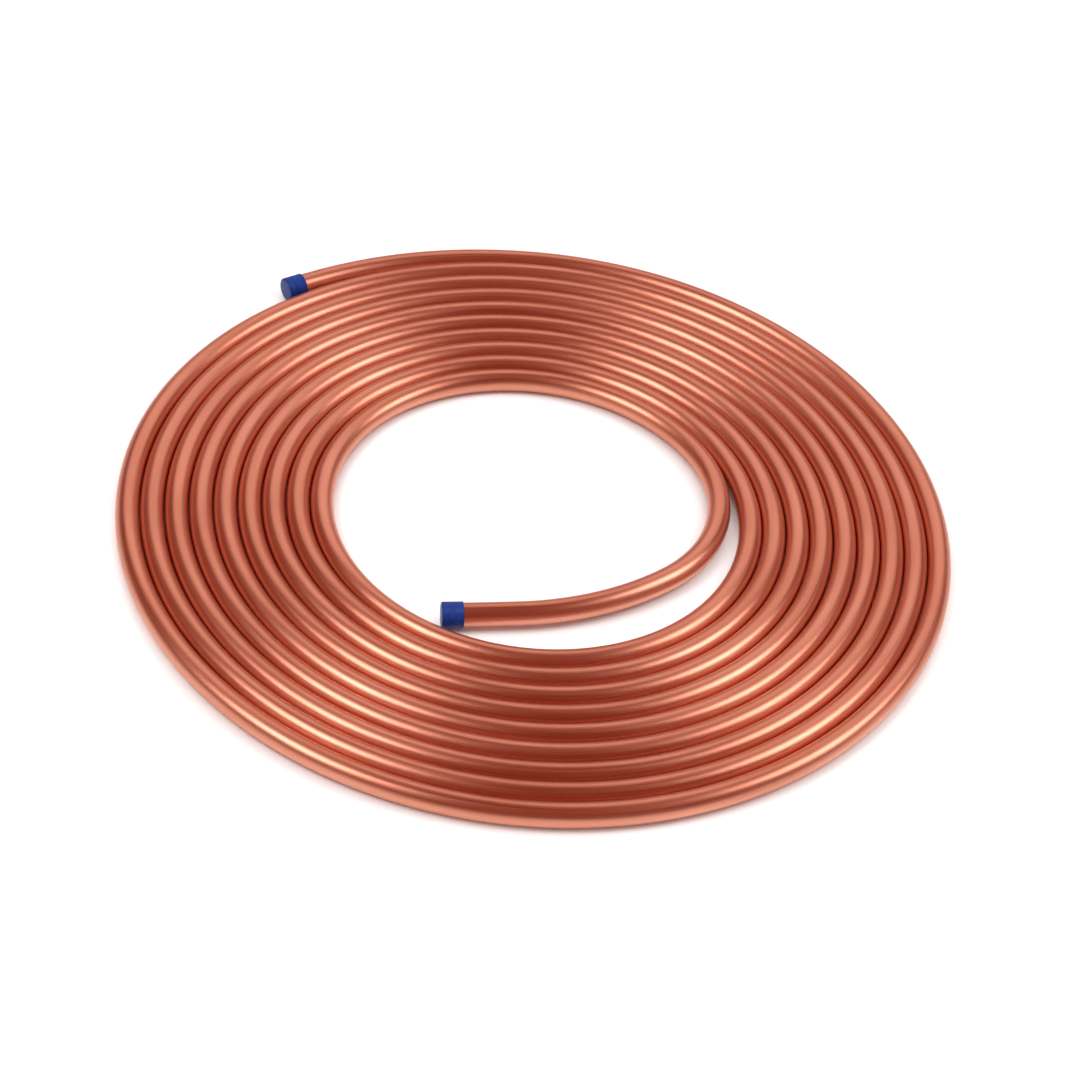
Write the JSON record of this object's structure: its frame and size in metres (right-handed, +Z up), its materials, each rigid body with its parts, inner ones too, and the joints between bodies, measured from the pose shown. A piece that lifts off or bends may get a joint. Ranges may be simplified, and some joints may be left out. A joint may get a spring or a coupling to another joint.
{
  "type": "copper tube coil",
  "caption": "Flat single-layer pancake coil of soft copper tube with an open eye, both free ends closed by blue push-on caps.",
  "frame": {"origin": "middle of the coil on the surface it lies on", "axes": "+Z up, square to the coil; +Y towards the back, +X to the right, as the picture shows it from the front"},
  "size_m": [0.6802, 0.69, 0.0231],
  "materials": {
    "copper": "satin",
    "cap_plastic": "satin"
  },
  "bodies": {
    "root": {"copper_tube": "copper", "outer_end_cap": "cap_plastic", "inner_end_cap": "cap_plastic"}
  },
  "joints": []
}
